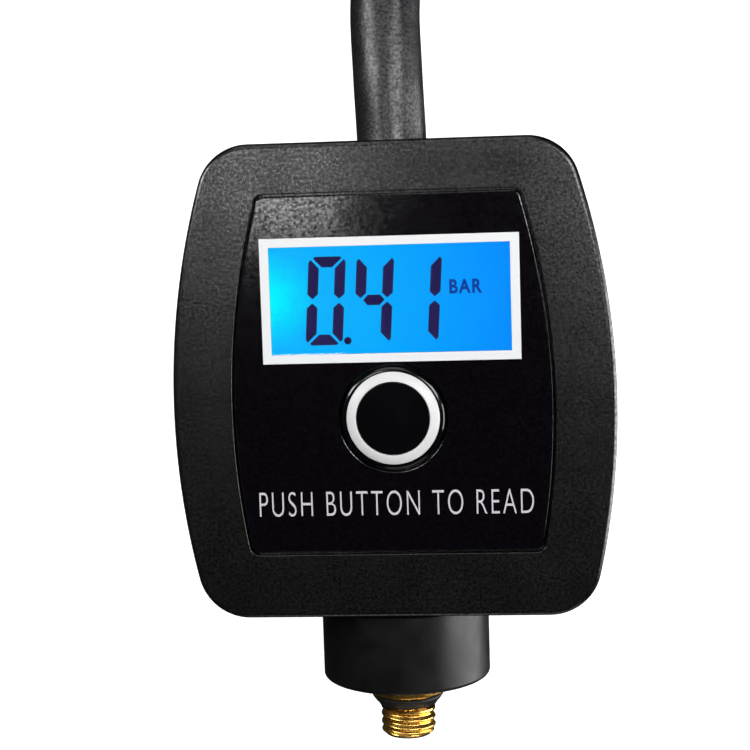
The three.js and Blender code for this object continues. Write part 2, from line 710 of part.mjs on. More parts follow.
place('lcd_glass', aroundLcd(LCD_HALF, LCD_Z), finishes.glass);
place('lcd_backlight', aroundLcd(LIGHT_HALF, LIGHT_Z), finishes.diffuser);
place('lcd_holder', lcdHolder(), finishes.holder);
place('zebra_strip_upper', zebraStrip(1), finishes.zebra);
place('zebra_strip_lower', zebraStrip(-1), finishes.zebra);

const ringZ = [BUTTON_Z[1] - RING_DEPTH, BUTTON_Z[1]];
place('button_cap', buttonCap(), finishes.button);
place('button_ring', turnedZ(sleeve(...RING_RADII, ...ringZ), [0, 0]), finishes.ring);
place('switch_plunger', rodZ(PLUNGER.radius, [0, 0], PLUNGER.z), finishes.black);
place('switch_body', switchBody(), finishes.steel);

place('main_board', mainBoard(), finishes.board);
mirrored(BOARD_POST).forEach((spot, i) => place(`board_screw_${i + 1}`, boardScrew(spot), finishes.steel));
place('pressure_sensor', pressureSensor(), finishes.steel);
const sensorRing = roundRing(SENSOR_RING.ring, SENSOR_RING.section, SENSOR_RING.z, 6);
place('sensor_o_ring', turnedZ(sensorRing, [0, SENSOR_Y], FINE), finishes.rubber);

place('manifold_block', manifoldBlock(), finishes.brass);
place('hose_barb', hoseBarb(), finishes.brass);
const crimp = HOSE_RADIUS + FERRULE.clearance;
const crimpProfile = sleeve(crimp, crimp + FERRULE.wall, HOSE_START, FERRULE.end);
place('hose_ferrule', turnedY(crimpProfile, FINE), finishes.steel);
place('collar', collar(), finishes.collar);
place('threaded_stud', threadedStud(), finishes.brass);
const { ring, section, y: ringY } = STUD_RING;
place('stud_o_ring', turnedY(roundRing(ring, section, ringY, 8), 24), finishes.rubber);

place('battery_cap', batteryCap(), finishes.housing);
place('battery_cap_seal', turnedZ(sleeve(...CAP_SEAL.radii, ...CAP_SEAL.z), [0, CELL_Y]), finishes.rubber);
place('coin_cell', coinCell(), finishes.steel);
place('battery_contact_positive', positiveContact(), finishes.steel);
place('battery_contact_negative', negativeContact(), finishes.steel);
place('battery_lead_red', batteryLead(1), finishes.red);
place('battery_lead_black', batteryLead(-1), finishes.black);
SCREW_PLACES.forEach((spot, i) => place(`case_screw_${i + 1}`, caseScrew(spot), finishes.steel));

place('hose_run', hoseRun(), finishes.hose);
place('hose_coil', coilRing(), finishes.hose);
place('hose_tail', hoseTail(), finishes.hose);
const band = HOSE_RADIUS + CHUCK_FERRULE.clearance;
const bandProfile = sleeve(band, band + CHUCK_FERRULE.wall, CHUCK_FERRULE.start, 0);
place('chuck_ferrule', turnedChuck(bandProfile, FINE), finishes.steel);
place('chuck_body', chuckBody(), finishes.brass);
place('chuck_nut', chuckNut(), finishes.brass);
place('chuck_seal', turnedChuck(sleeve(...CHUCK_SEAL.radii, ...CHUCK_SEAL.z), FINE), finishes.rubber);
const { radius: pin, z: [pinFoot, pinTip] } = CHUCK_PIN;
const pinProfile = [[0, pinFoot], [pin, pinFoot], [pin, pinTip], [0, pinTip]];
place('chuck_pin', turnedChuck(pinProfile, 12), finishes.brass);

export default group;
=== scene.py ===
# A digital tyre pressure gauge lying on its back, with its air hose coiled behind it.
# Lengths are in millimetres until they go into a mesh or the camera, which are in the frame's
# metres. Lamps are placed in metres.
# +Z leaves the display face, +Y runs toward the hose and +X is the reader's right.

import math

import bmesh
import bpy
from mathutils import Matrix, Vector


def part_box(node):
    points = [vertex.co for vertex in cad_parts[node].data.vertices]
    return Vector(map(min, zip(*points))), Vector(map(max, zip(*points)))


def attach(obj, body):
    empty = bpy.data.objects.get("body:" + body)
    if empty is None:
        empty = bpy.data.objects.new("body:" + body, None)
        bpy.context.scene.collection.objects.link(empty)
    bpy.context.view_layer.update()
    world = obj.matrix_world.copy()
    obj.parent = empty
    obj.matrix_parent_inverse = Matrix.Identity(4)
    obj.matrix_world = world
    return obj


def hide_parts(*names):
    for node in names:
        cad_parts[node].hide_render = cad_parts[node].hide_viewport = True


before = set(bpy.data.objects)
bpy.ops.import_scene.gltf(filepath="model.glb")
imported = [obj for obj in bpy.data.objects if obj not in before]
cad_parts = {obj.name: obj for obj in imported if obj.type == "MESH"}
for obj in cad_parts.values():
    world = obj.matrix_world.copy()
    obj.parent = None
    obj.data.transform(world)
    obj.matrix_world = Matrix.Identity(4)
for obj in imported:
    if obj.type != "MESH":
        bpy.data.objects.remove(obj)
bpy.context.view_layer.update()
MM = 0.001


# ---- sizes taken from the frame ----

def extent(node):
    """The lowest and highest corner of a CAD node, in millimetres."""
    low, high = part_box(node)
    return low / MM, high / MM


BODY_LOW = extent("rear_shell")[0]
BODY_HIGH = extent("front_shell")[1]
PANEL_LOW, PANEL_HIGH = extent("face_panel")
LCD_LOW, LCD_HIGH = extent("lcd_glass")
BUTTON_LOW, BUTTON_HIGH = extent("button_cap")
COLLAR_LOW, COLLAR_HIGH = extent("collar")
STUD_LOW = extent("threaded_stud")[0]
RING_LOW, RING_HIGH = extent("stud_o_ring")
CAP_LOW, CAP_HIGH = extent("battery_cap")
COIL_LOW, COIL_HIGH = extent("hose_coil")
NUT_LOW, NUT_HIGH = extent("chuck_nut")
SCREWS = ["case_screw_1", "case_screw_2", "case_screw_3", "case_screw_4"]

HOSE_RADIUS = (COIL_HIGH.z - COIL_LOW.z) / 2
COIL_CENTRE = (COIL_LOW + COIL_HIGH) / 2
AXIS_Z = (COLLAR_LOW.z + COLLAR_HIGH.z) / 2
CELL_Y = (CAP_LOW.y + CAP_HIGH.y) / 2
NUT_AXIS = (NUT_LOW + NUT_HIGH) / 2
HOSE_END_X = -34
CHUCK = Vector((HOSE_END_X, NUT_AXIS.y, NUT_AXIS.z))

# Housing shells: a plate is its half width, bottom, top, side radius and corner radius. Its
# sides are shallow arcs, widest at BULGE_Y.
BULGE_Y = 1.2
HOUSING = (BODY_HIGH.x, BODY_LOW.y, BODY_HIGH.y, 109, 7.3)
PANEL = (PANEL_HIGH.x, PANEL_LOW.y, PANEL_HIGH.y, 108, 1.2)
EDGE = 0.75
WALL = 2
FACE_WALL = 1.6
PANEL_GAP = 0.3
RECESS_FLOOR = PANEL_LOW.z - PANEL_GAP
FACE_INNER = RECESS_FLOOR - FACE_WALL

# Where the shells meet: chamfered edges, with a tongue of the back half inside the front's lip.
SPLIT_Z = 13
SHELL_GAP = 0.15
SPLIT_CHAMFER = 0.3
LIP = 0.95
REBATE = 1.1
TONGUE_INSET = 1.1
TONGUE = 1.0

# Holes and posts in the shells.
SCREW_HOLE = 1.6
SCREW_WELL = 2.6
WELL_DEPTH = 5
FRONT_POST = 3.5
REAR_POST = 4.1
HOSE_CLEARANCE = 0.4
NECK_HOLE = 8.1

# Seat of the battery cap: its mouth, the groove its tabs turn in and the bore to the cell.
CAP_MOUTH = 12.0
CAP_GROOVE = 13.1
CAP_GROOVE_LOW = 0.9
CAP_GROOVE_HIGH = 3.2
CELL_BORE = 10.5
CAP_BOSS = (14.5, 6.8)

# Printed and lit face: half sizes of the window and its border, and a digit's half width, half
# height and stroke.
LCD_Y = (LCD_LOW.y + LCD_HIGH.y) / 2
WINDOW = (16.65, 7.47)
FRAME_PRINT = (17.9, 8.69)
DIGIT = (2.6, 6.15, 1.48)
DIGIT_SLANT = math.radians(4)
DIGIT_Y = 16.4
DIGIT_CENTRES = {"0": -9.0, "4": -2.3, "1": 4.3}
POINT_CENTRE = (-6.1, 10.8)
POINT_RADIUS = 0.52
LABEL = {"text": "PUSH BUTTON TO READ", "width": 38.4, "height": 3.5, "base": -13.7}
UNIT = {"text": "BAR", "width": 4.5, "height": 2.0, "left": 8.2, "base": 17.0}
INK = 0.02

# Brass stud under the collar: thread radii, bore, the undercut for the seal and the flange.
THREAD_PITCH = 1.25
THREAD_CREST = 4.04
THREAD_ROOT = 3.65
THREAD_TOP = -44.95
STUD_BORE = 1.5
UNDERCUT = 3.2
FLANGE_LOW = -42.6
FLANGE_HIGH = -40.25
FLANGE_RADIUS = 5.97

# Outline steps.
SIDE_STEPS = 40
CORNER_STEPS = 14
TURN_STEPS = 96


# ---- camera ----

CAMERA_LENS = 79.2
CAMERA_TARGET = Vector((-2.34, 6.08, BODY_HIGH.z))
CAMERA_DISTANCE = 228.25
CAMERA_SIDE = math.radians(4.94)
CAMERA_RISE = math.radians(6.48)
CAMERA_ROLL = math.radians(1.79)


def make_camera():
    """A camera over the display, a little to its right and above, as a reader holds it."""
    back = Vector((
        math.sin(CAMERA_SIDE) * math.cos(CAMERA_RISE),
        math.sin(CAMERA_RISE),
        math.cos(CAMERA_SIDE) * math.cos(CAMERA_RISE),
    ))
    right = Vector((0, 1, 0)).cross(back).normalized()
    up = back.cross(right)
    across = math.cos(CAMERA_ROLL) * right - math.sin(CAMERA_ROLL) * up
    upward = math.sin(CAMERA_ROLL) * right + math.cos(CAMERA_ROLL) * up
    data = bpy.data.cameras.new("camera")
    data.lens = CAMERA_LENS
    data.clip_start = 0.01
    data.clip_end = 20
    camera = bpy.data.objects.new("camera", data)
    turn = Matrix((across, upward, back)).transposed().to_4x4()
    place = Matrix.Translation((CAMERA_TARGET + CAMERA_DISTANCE * back) * MM)
    camera.matrix_world = place @ turn
    bpy.context.scene.collection.objects.link(camera)
    bpy.context.scene.camera = camera


# ---- materials ----

def add(tree, kind, inputs=(), **settings):
    """A node with its settings; each input is a number, a colour or another node's socket."""
    made = tree.nodes.new(kind)
    for name, value in settings.items():
        setattr(made, name, value)
    for key, value in dict(inputs).items():
        if isinstance(value, bpy.types.NodeSocket):
            tree.links.new(value, made.inputs[key])
        else:
            made.inputs[key].default_value = value
    return made


def shader(name, colour, roughness, sockets=()):
    """A new material, its node tree and its principled shader."""
    material = bpy.data.materials.new(name)
    material.use_nodes = True
    tree = material.node_tree
    principled = tree.nodes["Principled BSDF"]
    principled.inputs["Base Color"].default_value = (*colour, 1)
    principled.inputs["Roughness"].default_value = roughness
    for socket, value in dict(sockets).items():
        principled.inputs[socket].default_value = value
    return material, tree, principled


def millimetres(tree, stretch=(1, 1, 1)):
    """Object coordinates in millimetres, pulled out where stretch is under 1."""
    place = add(tree, "ShaderNodeTexCoord")
    scale = tuple(1 / MM * s for s in stretch)
    mapped = add(tree, "ShaderNodeMapping", {"Vector": place.outputs["Object"], "Scale": scale})
    return mapped.outputs["Vector"]


def noise(tree, vector, size, detail=2, roughness=0.5):
    """Noise whose spots are about size millimetres wide."""
    made = add(
        tree,
        "ShaderNodeTexNoise",
        {"Vector": vector, "Scale": 1 / size, "Detail": detail, "Roughness": roughness},
    )
    return made.outputs["Fac"]


def ranged(tree, value, low, high, start=0.3, end=0.7):
    """Value from start to end spread over low to high."""
    made = add(
        tree,
        "ShaderNodeMapRange",
        {"Value": value, "From Min": start, "From Max": end, "To Min": low, "To Max": high},
    )
    return made.outputs["Result"]


def mixed(tree, factor, first, second):
    """A blend of two colours: sockets 6 and 7 of a Mix node in, and 2 out."""
    made = add(tree, "ShaderNodeMix", data_type="RGBA")
    tree.links.new(factor, made.inputs["Factor"])
    for index, value in ((6, first), (7, second)):
        if isinstance(value, bpy.types.NodeSocket):
            tree.links.new(value, made.inputs[index])
        else:
            made.inputs[index].default_value = (*value, 1)
    return made.outputs[2]


def textured(name, colour, roughness, grain, depth, tint=0.2, spread=0.08, patch=6, sparkle=0,
             stretch=(1, 1, 1), sockets=()):
    """Grain that stands depth millimetres proud, with the colour and gloss uneven over patches.

    A sparkle over 0 makes the tops of the grains shine more than the gaps between them.
    """
    material, tree, principled = shader(name, colour, roughness, sockets)
    fine = noise(tree, millimetres(tree, stretch), grain)
    broad = noise(tree, millimetres(tree), patch, detail=4)
    dark = tuple(c * (1 - tint) for c in colour)
    light = tuple(min(1, c * (1 + tint)) for c in colour)
    toned = mixed(tree, ranged(tree, fine, 0, 1), dark, light)
    tree.links.new(toned, principled.inputs["Base Color"])
    gloss = ranged(tree, broad, roughness - spread, roughness + spread)
    tree.links.new(gloss, principled.inputs["Roughness"])
    if sparkle:
        shine = ranged(tree, fine, 0.5 - sparkle, 0.5 + sparkle)
        tree.links.new(shine, principled.inputs["Specular IOR Level"])
    bump = add(tree, "ShaderNodeBump", {"Height": fine, "Distance": depth * MM})
    tree.links.new(bump.outputs["Normal"], principled.inputs["Normal"])
    return material


def lcd_material():
    """A blue backlit display, brightest beside its lamp at the middle of the left end.

    Its lower edge, under the panel beside the button, stays dark.
    """
    material, tree, principled = shader(
        "lcd_blue", (0.0, 0.02, 0.06), 0.3, {"Specular IOR Level": 0.03}
    )
    vector = millimetres(tree)
    height = add(tree, "ShaderNodeSeparateXYZ", {"Vector": vector}).outputs["Y"]
    edge = LCD_Y - WINDOW[1]
    lit = ranged(tree, height, 0, 1, edge - 0.3, edge - 0.1)
    tree.links.new(lit, principled.inputs["Emission Strength"])
    lamp = (-WINDOW[0] - 0.5, LCD_Y + 0.2, LCD_HIGH.z)
    away = add(tree, "ShaderNodeVectorMath", {0: vector, 1: lamp}, operation="DISTANCE")
    stir = ranged(tree, noise(tree, vector, 0.5, detail=3), -0.7, 0.7)
    uneven = add(tree, "ShaderNodeMath", {0: away.outputs["Value"], 1: stir}, operation="ADD")
    fade = 36
    ramp = add(tree, "ShaderNodeValToRGB", {"Fac": ranged(tree, uneven.outputs[0], 0, 1, 0, fade)})
    stops = ramp.color_ramp.elements
    colours = {
        0.0: (0.0, 0.98, 1.05), 0.05: (0.0, 0.90, 1.05), 0.12: (0.002, 0.66, 1.03),
        0.2: (0.004, 0.47, 1.02), 0.45: (0.001, 0.42, 1.02), 1.0: (0.0, 0.26, 1.04),
    }
    while len(stops) < len(colours):
        stops.new(0.5)
    for stop, (place, colour) in zip(stops, colours.items()):
        stop.position = place
        stop.color = (*colour, 1)
    tree.links.new(ramp.outputs["Color"], principled.inputs["Emission Color"])
    return material


def lcd_ink(name, colour, glow):
    """A dark mark on the display, with a little of its light coming through."""
    sockets = {"Emission Color": (*glow, 1), "Emission Strength": 1, "Specular IOR Level": 0.05}
    return textured(name, colour, roughness=0.4, grain=0.3, depth=0.001, tint=0.35, sockets=sockets)


def metal(name, colour, roughness, grain, depth, **more):
    """A textured finish that reflects as bare metal does."""
    return textured(name, colour, roughness, grain, depth, sockets={"Metallic": 1}, **more)


def turned_metal(name, colour, roughness, axis):
    """Bright metal with the fine rings that a lathe tool leaves round an axis."""
    stretch = tuple(1 if i == axis else 0.04 for i in range(3))
    return metal(
        name, colour, roughness, grain=0.12, depth=0.003, tint=0.08, spread=0.06, patch=2.5,
        stretch=stretch,
    )


def face_materials():
    """The housing, the panel, the display, its print and the button."""
    return {
        "housing": textured(
            "moulded_housing", (0.0025, 0.0025, 0.0027), roughness=0.24, grain=0.42, depth=0.01,
            tint=0.6, spread=0.02, sparkle=0.3,
        ),
        "panel": textured(
            "gloss_panel", (0.0015, 0.001, 0.002), roughness=0.1, grain=0.4, depth=0.0025,
            spread=0.01, patch=3, sparkle=0.4,
        ),
        "lens": shader("clear_lens", (1, 1, 1), 0.02, {"Transmission Weight": 1, "IOR": 1.49})[0],
        "lcd": lcd_material(),
        "segment": lcd_ink("lcd_segment", (0.012, 0.008, 0.05), (0.010, 0.005, 0.045)),
        "unit": lcd_ink("lcd_unit_mark", (0.0, 0.01, 0.05), (0.004, 0.03, 0.28)),
        "print": textured(
            "white_print", (0.66, 0.67, 0.68), roughness=0.45, grain=0.1, depth=0.002, tint=0.04
        ),
        "label": textured(
            "label_print", (0.50, 0.45, 0.50), roughness=0.5, grain=0.1, depth=0.002, tint=0.08
        ),
        "button": textured(
            "button_gloss", (0.0012, 0.001, 0.0018), roughness=0.1, grain=1.2, depth=0.001,
            spread=0.03, patch=3,
        ),
        "ring": textured(
            "ring_white", (0.60, 0.60, 0.60), roughness=0.4, grain=0.15, depth=0.002, tint=0.04
        ),
    }


def air_line_materials():
    """The hose, collar, seals and bright metal."""
    return {
        "hose": textured(
            "hose_rubber", (0.010, 0.010, 0.0115), roughness=0.36, grain=0.4, depth=0.012,
            tint=0.3, patch=5, sparkle=0.3,
        ),
        "collar": textured(
            "collar_black", (0.002, 0.002, 0.0022), roughness=0.38, grain=0.3, depth=0.008,
            tint=0.5, patch=4, sockets={"Specular IOR Level": 0.28},
        ),
        "rubber": textured(
            "seal_rubber", (0.006, 0.006, 0.006), roughness=0.5, grain=0.2, depth=0.006,
            tint=0.25, sockets={"Specular IOR Level": 0.3},
        ),
        "brass_y": turned_metal("brass_turned_y", (0.90, 0.52, 0.12), 0.25, axis=1),
        "brass_x": turned_metal("brass_turned_x", (0.83, 0.58, 0.22), 0.24, axis=0),
        "steel_x": turned_metal("steel_turned_x", (0.62, 0.62, 0.63), 0.3, axis=0),
        "steel": metal(
            "steel_plated", (0.62, 0.62, 0.63), roughness=0.32, grain=0.3, depth=0.004, tint=0.08
        ),
        "brass": metal(
            "brass_milled", (0.80, 0.56, 0.22), roughness=0.3, grain=0.3, depth=0.006, tint=0.1
        ),
    }


def inner_materials():
    """The board, the display's backing and the wires inside the case."""
    return {
        "board": textured(
            "board_green", (0.012, 0.09, 0.035), roughness=0.4, grain=0.8, depth=0.01,
            tint=0.3, patch=3,
        ),
        "diffuser": textured(
            "diffuser_white", (0.75, 0.82, 0.88), roughness=0.5, grain=0.4, depth=0.004, tint=0.05
        ),
        "holder": textured(
            "holder_grey", (0.03, 0.03, 0.034), roughness=0.5, grain=0.3, depth=0.01, tint=0.2
        ),
        "zebra": textured(
            "zebra_strip", (0.09, 0.09, 0.1), roughness=0.75, grain=0.18, depth=0.01,
            stretch=(1, 0.1, 0.1),
        ),
        "lead_red": textured(
            "lead_red", (0.38, 0.01, 0.01), roughness=0.45, grain=0.2, depth=0.005
        ),
        "lead_black": textured(
            "lead_black", (0.015, 0.015, 0.015), roughness=0.45, grain=0.2, depth=0.005
        ),
    }


MATERIALS = {}

# The finish of each piece inside the case and the chuck.
CAD_FINISHES = {
    "lcd_backlight": "diffuser",
    "lcd_holder": "holder",
    "zebra_strip_upper": "zebra",
    "zebra_strip_lower": "zebra",
    "switch_plunger": "lead_black",
    "switch_body": "steel",
    "main_board": "board",
    "board_screw_1": "steel",
    "board_screw_2": "steel",
    "pressure_sensor": "steel",
    "sensor_o_ring": "rubber",
    "manifold_block": "brass",
    "hose_barb": "brass_y",
    "hose_ferrule": "steel",
    "battery_cap_seal": "rubber",
    "coin_cell": "steel",
    "battery_contact_positive": "steel",
    "battery_contact_negative": "steel",
    "battery_lead_red": "lead_red",
    "battery_lead_black": "lead_black",
    "chuck_seal": "rubber",
    "chuck_pin": "brass_x",
}


def finish_cad_nodes():
    """The pieces inside the case and the chuck keep their CAD shape and get a finish of their own."""
    for node, finish in CAD_FINISHES.items():
        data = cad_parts[node].data
        data.materials.clear()
        data.materials.append(MATERIALS[finish])


# ---- shapes: each is a list of points and a list of faces ----

def loft(loops, wrap=False):
    """A skin over loops of equal length: closed by its end loops, or joined end to end."""
    count = len(loops[0])
    points = [p for loop in loops for p in loop]
    faces = []
    for i in range(len(loops) if wrap else len(loops) - 1):
        near, far = i * count, (i + 1) % len(loops) * count
        for k in range(count):
            after = (k + 1) % count
            faces.append((near + k, near + after, far + after, far + k))
    if not wrap:
        faces.append(tuple(range(count)))
        faces.append(tuple(range(len(points) - count, len(points))))
    return points, faces


def merged(shapes):
    """Several shapes as one."""
    points, faces = [], []
    for more, sides in shapes:
        start = len(points)
        points.extend(more)
        faces.extend(tuple(start + i for i in face) for face in sides)
    return points, faces


def arc(centre, radius, start, end, steps):
    """Points round an arc, without its last."""
    angles = [start + (end - start) * i / steps for i in range(steps)]
    return [(centre[0] + radius * math.cos(a), centre[1] + radius * math.sin(a)) for a in angles]


def plate(shape, grow, z):
    """The outline of a plate with arched sides, grown all round, at height z."""
    half_width, bottom, top, bulge, corner = shape
    half_width, bottom, top, bulge = half_width + grow, bottom - grow, top + grow, bulge + grow
    corner = max(corner + grow, 0.1)
    centre = half_width - bulge
    upper, lower = top - corner, bottom + corner
    upper_x = centre + math.sqrt((bulge - corner) ** 2 - (upper - BULGE_Y) ** 2)
    lower_x = centre + math.sqrt((bulge - corner) ** 2 - (lower - BULGE_Y) ** 2)
    high = math.atan2(upper - BULGE_Y, upper_x - centre)
    low = math.atan2(lower - BULGE_Y, lower_x - centre)
    side = (
        arc((lower_x, lower), corner, -math.pi / 2, low, CORNER_STEPS)
        + arc((centre, BULGE_Y), bulge, low, high, SIDE_STEPS)
        + arc((upper_x, upper), corner, high, math.pi / 2, CORNER_STEPS)
        + [(upper_x, top)]
    )
    return [(x, y, z) for x, y in side] + [(-x, y, z) for x, y in reversed(side)]


def rounded(radius, steps):
    """Quarter-round steps as pairs of inset and drop, from the top face to the side."""
    turns = [math.pi / 2 * i / steps for i in range(steps + 1)]
    return [(radius * (1 - math.sin(t)), radius * (1 - math.cos(t))) for t in turns]


def about_z(x, y):
    """Turns a radius, height and angle into a point round a vertical axis."""
    return lambda r, h, a: (x + r * math.cos(a), y + r * math.sin(a), h)


def about_air_line(r, h, a):
    """The same round the axis of the stud and collar, where the height is Y."""
    return r * math.cos(a), h, AXIS_Z + r * math.sin(a)


def about_chuck(r, h, a):
    """The same round the chuck's axis, where the height runs from the hose's end along -X."""
    return CHUCK.x - h, CHUCK.y + r * math.cos(a), CHUCK.z + r * math.sin(a)


def turned(profile, axis, steps=TURN_STEPS, wrap=False, shape=None):
    """A profile of radius and height turned round an axis; shape may change each radius."""
    angles = [2 * math.pi * i / steps for i in range(steps)]
    loops = []
    for radius, height in profile:
        radii = [shape(radius, height, a) if shape else radius for a in angles]
        loops.append([axis(r, height, a) for r, a in zip(radii, angles)])
    return loft(loops, wrap)


def prism(corners, low, high):
    """A flat outline drawn up from low to high."""
    return loft([[(x, y, z) for x, y in corners] for z in (low, high)])


def rectangle(half_x, half_y, x=0.0, y=0.0):
    return [
        (x - half_x, y - half_y), (x + half_x, y - half_y),
        (x + half_x, y + half_y), (x - half_x, y + half_y),
    ]


# ---- pieces ----

def mesh_object(name, shape):
    points, faces = shape
    data = bpy.data.meshes.new(name)
    data.from_pydata([Vector(p) * MM for p in points], [], faces)
    tidy = bmesh.new()
    tidy.from_mesh(data)
    bmesh.ops.remove_doubles(tidy, verts=tidy.verts, dist=1e-7)
    bmesh.ops.recalc_face_normals(tidy, faces=tidy.faces)
    tidy.to_mesh(data)
    tidy.free()
    made = bpy.data.objects.new(name, data)
    bpy.context.scene.collection.objects.link(made)
    return made


def combine(target, shape, operation):
    """Cuts a shape out of a piece, or joins it on."""
    other = mesh_object("cutter", shape)
    step = target.modifiers.new("cut", "BOOLEAN")
    step.operation = operation
    step.solver = "EXACT"
    step.object = other
    depsgraph = bpy.context.evaluated_depsgraph_get()
    result = bpy.data.meshes.new_from_object(target.evaluated_get(depsgraph))
    target.modifiers.clear()
    target.data = result
    bpy.data.objects.remove(other)


def dress(made, material, body, replaces=(), sharp=34):
    """Smooths a piece, gives it its material and ties it to the frame."""
    made.data.materials.clear()
    made.data.materials.append(MATERIALS[material])
    made.data.shade_smooth()
    made.data.set_sharp_from_angle(angle=math.radians(sharp))
    even = made.modifiers.new("even_normals", "WEIGHTED_NORMAL")
    even.keep_sharp = True
    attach(made, body)
    if replaces:
        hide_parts(*replaces)
    return made


def piece(name, shape, material, body, replaces=(), sharp=34):
    return dress(mesh_object(name, shape), material, body, replaces, sharp)


# ---- hose ----

# Out of the housing, down to the floor and round to the coil, then off the coil to the chuck.
HOSE_OUT = [
    (0, 16, 13), (0, 27, 13), (0, 38.3, 13), (-0.3, 48, 12.9), (-0.45, 58, 11.7), (0.6, 66, 9.6),
    (3.3, 74, 7.1), (7.2, 82, 5.4), (11.4, 90, 5), (15.4, 98, 5), (19, 106, 5), (21.9, 113, 5),
]
HOSE_IN = [(-22, 168, 17.85), (-26, 168, 17.85), (-30, 168, 17.85), (HOSE_END_X, 168, 17.85)]
HOSE_BORE = 3.2
HOSE_SIDES = 40
HOSE_STEPS = 10
BORE_STEPS = 14

# The coil in degrees, the stretches where it climbs, draws in and lifts to the chuck, and how far.
COIL_TURN = {"start": -8, "end": 442, "points": 28}
COIL_CLIMB = (222, 312)
COIL_DRAW_IN = (330, 450)
COIL_LIFT = (370, 450)
COIL_DRAW = 4
COIL_UPPER = 10.3


def eased(value, start, end):
    """0 before start, 1 after end and smooth between."""
    t = min(1, max(0, (value - start) / (end - start)))
    return t * t * (3 - 2 * t)


def coil_points():
    """One turn on the floor, which climbs onto itself and draws in toward the chuck."""
    start, end, steps = COIL_TURN["start"], COIL_TURN["end"], COIL_TURN["points"]
    middle = (COIL_HIGH.x - COIL_LOW.x) / 2 - HOSE_RADIUS
    points = []
    for i in range(steps + 1):
        angle = start + (end - start) * i / steps
        radius = middle - COIL_DRAW * eased(angle, *COIL_DRAW_IN)
        rise = COIL_UPPER * eased(angle, *COIL_CLIMB)
        rise += (CHUCK.z - HOSE_RADIUS - COIL_UPPER) * eased(angle, *COIL_LIFT)
        turn = math.radians(angle)
        points.append((
            COIL_CENTRE.x + radius * math.cos(turn),
            COIL_CENTRE.y + radius * math.sin(turn),
            HOSE_RADIUS + rise,
        ))
    return points


def smooth_path(route, steps):
    """A centripetal Catmull-Rom curve through every point of a route."""
    given = [Vector(p) for p in route]
    given = [2 * given[0] - given[1], *given, 2 * given[-1] - given[-2]]
    path = []
    for a, b, c, d in zip(given, given[1:], given[2:], given[3:]):
        ta = 0
        tb = ta + math.sqrt((b - a).length)
        tc = tb + math.sqrt((c - b).length)
        td = tc + math.sqrt((d - c).length)
        for k in range(steps):
            t = tb + (tc - tb) * k / steps
            ab = a.lerp(b, (t - ta) / (tb - ta))
            bc = b.lerp(c, (t - tb) / (tc - tb))
            cd = c.lerp(d, (t - tc) / (td - tc))
            abc = ab.lerp(bc, (t - ta) / (tc - ta))
            bcd = bc.lerp(cd, (t - tb) / (td - tb))
            path.append(abc.lerp(bcd, (t - tb) / (tc - tb)))
    path.append(given[-2])
    return path


def ring_frames(path):
    """A pair of directions across the path at each point, which never twist."""
    frames = []
    side = Vector((1, 0, 0))
    for i, point in enumerate(path):
        ahead = (path[min(i + 1, len(path) - 1)] - path[max(i - 1, 0)]).normalized()
        side = (side - side.dot(ahead) * ahead).normalized()
        frames.append((side, ahead.cross(side)))
    return frames


def make_hose(chuck_pieces):
    """A plain rubber air hose with an open bore at both ends."""
    path = smooth_path(HOSE_OUT + coil_points() + HOSE_IN, HOSE_STEPS)
    frames = ring_frames(path)

    def ring(i, radius):
        side, other = frames[i]
        turns = [2 * math.pi * k / HOSE_SIDES for k in range(HOSE_SIDES)]
        return [path[i] + radius * (math.cos(a) * side + math.sin(a) * other) for a in turns]

    last = len(path) - 1
    loops = [ring(i, HOSE_BORE) for i in range(BORE_STEPS, -1, -1)]
    loops += [ring(i, HOSE_RADIUS) for i in range(last + 1)]
    loops += [ring(i, HOSE_BORE) for i in range(last, last - BORE_STEPS, -1)]
    hose = piece(
        "air_hose", loft(loops), "hose", "case",
        ("hose_run", "hose_coil", "hose_tail"), sharp=60,
    )


# ---- chuck on the hose's far end ----

def make_ferrule():
    """A steel sleeve crimped onto the hose in a row of grooves."""
    inner = HOSE_RADIUS + 0.3
    outer = inner + 0.7
    start, crimped, end, edge = -11.0, -10.6, 0.0, 0.25
    grooves, depth, steps, run = 4, 0.35, 24, 10.2
    crimps = [
        (outer - depth * abs(math.sin(math.pi * grooves * i / steps)) ** 3, crimped + run * i / steps)
        for i in range(steps + 1)
    ]
    profile = [(inner, start), (outer - edge, start), *crimps, (outer - edge, end), (inner, end)]
    return piece(
        "chuck_ferrule_visual", turned(profile, about_chuck, wrap=True), "steel_x", "case",
        ("chuck_ferrule",),
    )


def make_chuck_body():
    """A hexagon with a barbed tail inside the hose and a stem that carries the nut."""
    bore, barb, barb_root, barb_pitch = 1.2, 2.9, 2.5, 4
    hexagon_low, hexagon_high, corner, flat = 0.3, 5.2, 6.2, 5.37
    stem, stem_top, head, end = 4.1, 14.0, 5.2, 16.0

    def hexagon(radius, height, angle):
        across = flat / math.cos((angle + math.pi / 6) % (math.pi / 3) - math.pi / 6)
        on_hexagon = hexagon_low - 0.1 < height < hexagon_high + 0.1 and radius > 5
        return min(radius, across) if on_hexagon else radius

    barbs = []
    for k in range(3):
        barbs += [(barb, 0.3 - barb_pitch * k), (barb_root, -3.2 - barb_pitch * k)]
    profile = [
        (bore, -11.7), *reversed(barbs),
        (5.4, hexagon_low), (corner, 0.8), (corner, 4.7), (5.4, hexagon_high),
        (stem, 5.25), (stem, stem_top), (head, stem_top), (head, end), (bore, end),
    ]
    return piece(
        "chuck_body_visual", turned(profile, about_chuck, wrap=True, shape=hexagon),
        "brass_x", "case", ("chuck_body",),
    )


